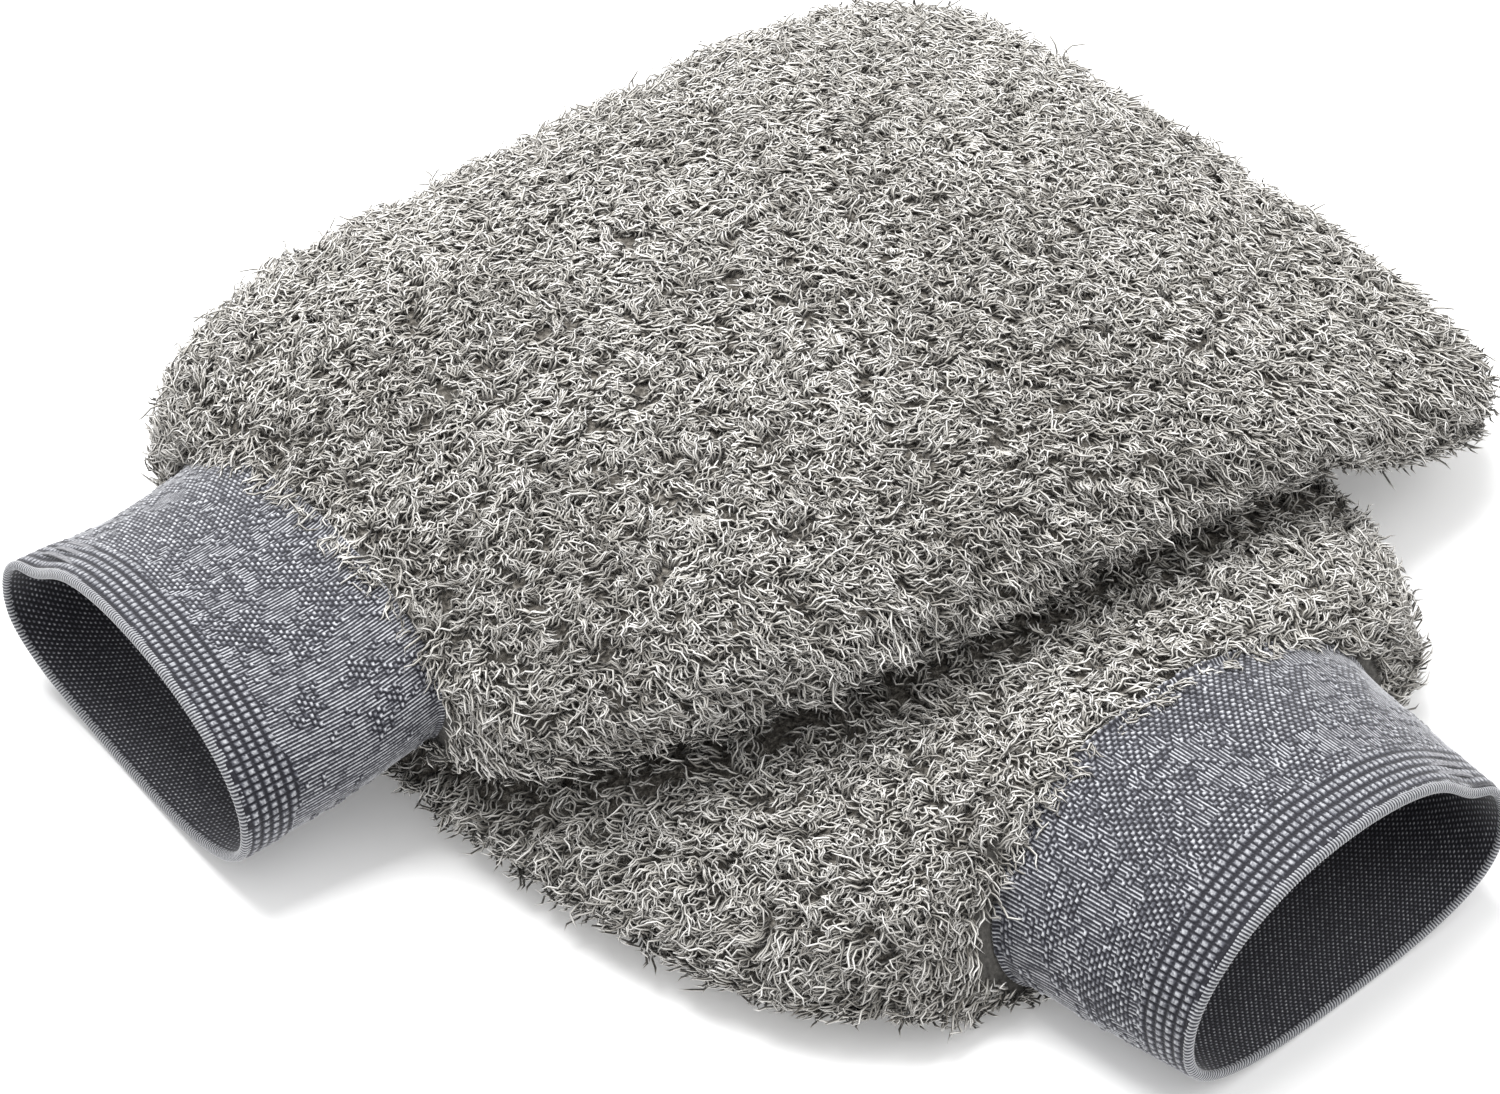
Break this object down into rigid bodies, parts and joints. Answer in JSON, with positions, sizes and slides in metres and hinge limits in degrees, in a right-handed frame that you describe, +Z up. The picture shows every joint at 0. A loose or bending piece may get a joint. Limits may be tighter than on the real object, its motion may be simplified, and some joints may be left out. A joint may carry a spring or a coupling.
{
  "type": "pet grooming mitt pair",
  "caption": "Fingerless curly-pile grooming mitts with elastic knitted cuffs, lying crossed as a pair; the upper mitt lifts off and each cuff flexes up at its wrist seam.",
  "frame": {"origin": "on the floor under the middle of the pair's plan", "axes": "+Z up; +X to the right and +Y away from someone who has the two cuffs towards them"},
  "size_m": [0.3394, 0.3586, 0.065],
  "materials": {
    "pile_fabric": "warm grey curly cut-and-loop pile with pale tips",
    "seam_allowance": "grey knitted backing cloth, sewn double",
    "overlock_thread": "grey spun polyester overlock stitches",
    "cuff_face_knit": "blue-grey heather fine elastic knit with raised stitches",
    "cuff_back_knit": "dark blue-grey bird's-eye back of the double knit",
    "cuff_welt": "pale grey finished knit edge",
    "elastic_yarn": "covered elastic yarn laid in the knit"
  },
  "bodies": {
    "lower_mitt": {"lower_top_pile_panel": "pile_fabric", "lower_bottom_pile_panel": "pile_fabric", "lower_side_seam": "seam_allowance", "lower_side_seam_overlock": "overlock_thread", "lower_wrist_seam": "seam_allowance", "lower_wrist_seam_overlock": "overlock_thread"},
    "lower_cuff": {"lower_cuff_face_knit": "cuff_face_knit", "lower_cuff_back_knit": "cuff_back_knit", "lower_cuff_mouth_welt": "cuff_welt", "lower_cuff_elastic_yarns": "elastic_yarn"},
    "upper_mitt": {"upper_top_pile_panel": "pile_fabric", "upper_bottom_pile_panel": "pile_fabric", "upper_side_seam": "seam_allowance", "upper_side_seam_overlock": "overlock_thread", "upper_wrist_seam": "seam_allowance", "upper_wrist_seam_overlock": "overlock_thread"},
    "upper_cuff": {"upper_cuff_face_knit": "cuff_face_knit", "upper_cuff_back_knit": "cuff_back_knit", "upper_cuff_mouth_welt": "cuff_welt", "upper_cuff_elastic_yarns": "elastic_yarn"}
  },
  "joints": [
    {"name": "upper_lift", "type": "slide", "parent": "lower_mitt", "child": "upper_mitt", "axis": [0, 0, 1], "range_m": [0, 0.2]},
    {"name": "lower_cuff_flex", "type": "hinge", "parent": "lower_mitt", "child": "lower_cuff", "pos_m": [0.07557, -0.1029, 0.03878], "axis": [-0.766, -0.6428, 0], "range_deg": [0, 35]},
    {"name": "upper_cuff_flex", "type": "hinge", "parent": "upper_mitt", "child": "upper_cuff", "pos_m": [-0.10004, -0.05636, 0.04806], "axis": [-0.6225, 0.7826, 0], "range_deg": [0, 35]}
  ]
}
